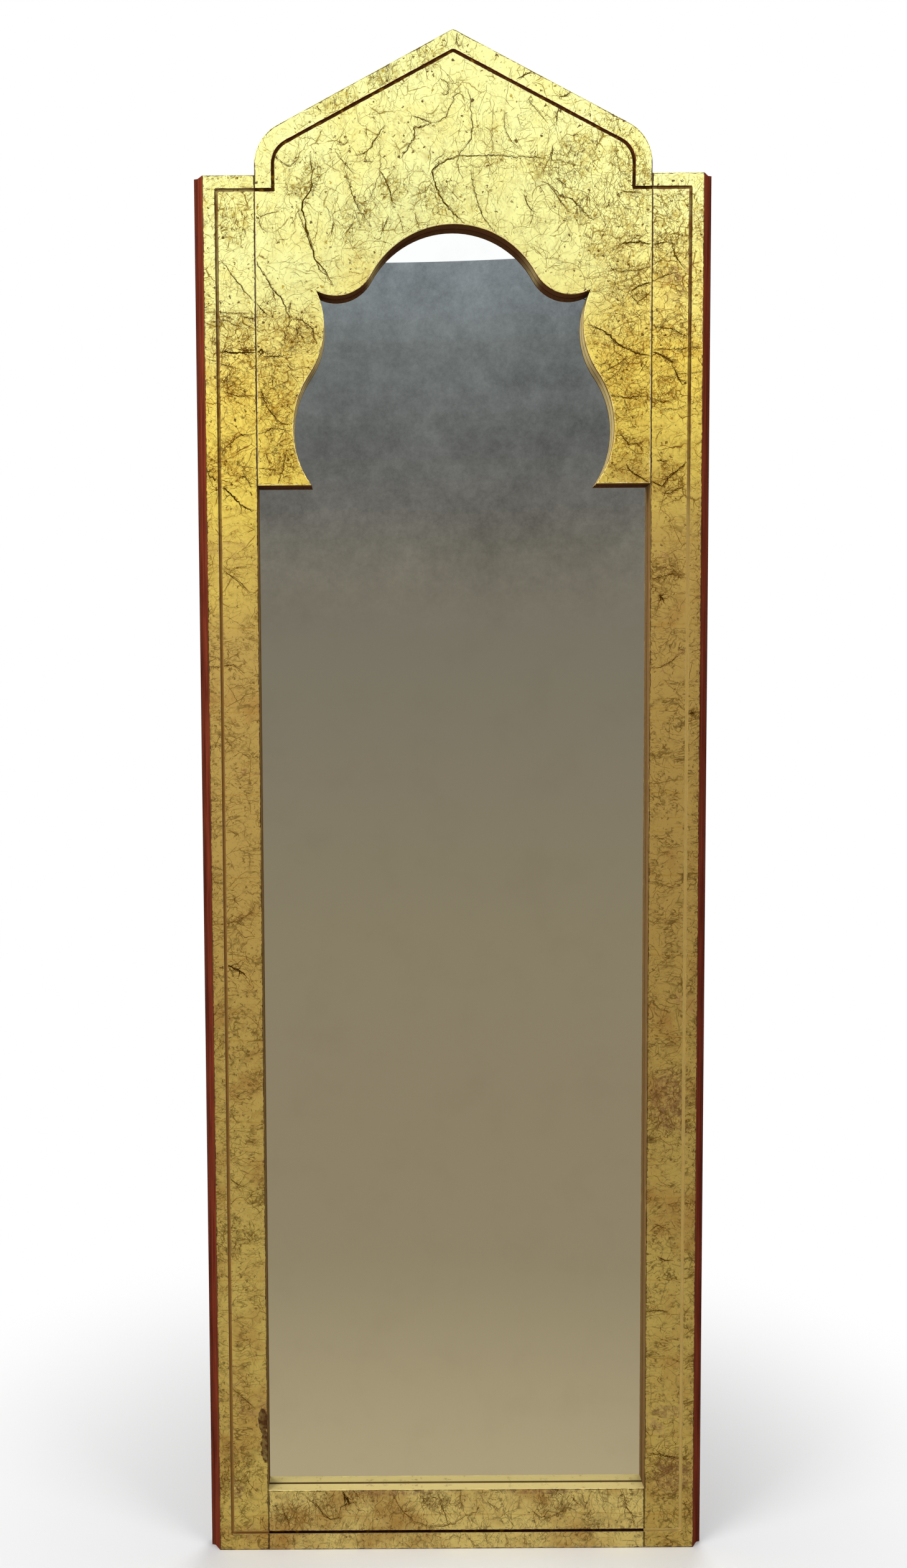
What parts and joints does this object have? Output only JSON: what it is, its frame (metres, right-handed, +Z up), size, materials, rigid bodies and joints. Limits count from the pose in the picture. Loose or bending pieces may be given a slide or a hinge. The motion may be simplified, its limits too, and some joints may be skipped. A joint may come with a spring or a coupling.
{
  "type": "wall mirror",
  "caption": "Tall wall mirror with a gilded board frame, pointed crest over an arched cut-out, bevelled red-brown sides and swinging hanger rings.",
  "frame": {"origin": "middle of the bottom edge, half way through the thickness of the frame boards", "axes": "+Z up the mirror to its apex, -Y out of its gilded front towards the viewer, +X to the viewer's right"},
  "size_m": [0.508, 0.026, 1.5245],
  "materials": {
    "gilded_wood": "aged gold leaf with brown veining, outer edges red-brown",
    "dowel_wood": "bare",
    "silvered_glass": "polished",
    "soft_rubber": "matte",
    "cushion_card": "matte",
    "hardboard": "smooth hardboard",
    "zinc_steel": "zinc plated"
  },
  "bodies": {
    "frame": {"left_stile": "gilded_wood", "right_stile": "gilded_wood", "crest_board": "gilded_wood", "bottom_rail": "gilded_wood", "crest_dowels": "dowel_wood", "rail_dowels": "dowel_wood", "mirror_plate": "silvered_glass", "setting_blocks": "soft_rubber", "cushion_sheet": "cushion_card", "backing_panel": "hardboard", "backing_screws": "zinc_steel", "hanger_screws": "zinc_steel", "left_hanger_strap": "zinc_steel", "right_hanger_strap": "zinc_steel", "left_bumper": "soft_rubber", "right_bumper": "soft_rubber"},
    "left_ring": {"left_hanger_ring": "zinc_steel"},
    "right_ring": {"right_hanger_ring": "zinc_steel"}
  },
  "joints": [
    {"name": "left_ring_swing", "type": "hinge", "parent": "frame", "child": "left_ring", "pos_m": [-0.2365, 0.0125, 1.06], "axis": [1, 0, 0], "range_deg": [0, 180]},
    {"name": "right_ring_swing", "type": "hinge", "parent": "frame", "child": "right_ring", "pos_m": [0.2365, 0.0125, 1.06], "axis": [1, 0, 0], "range_deg": [0, 180]}
  ]
}
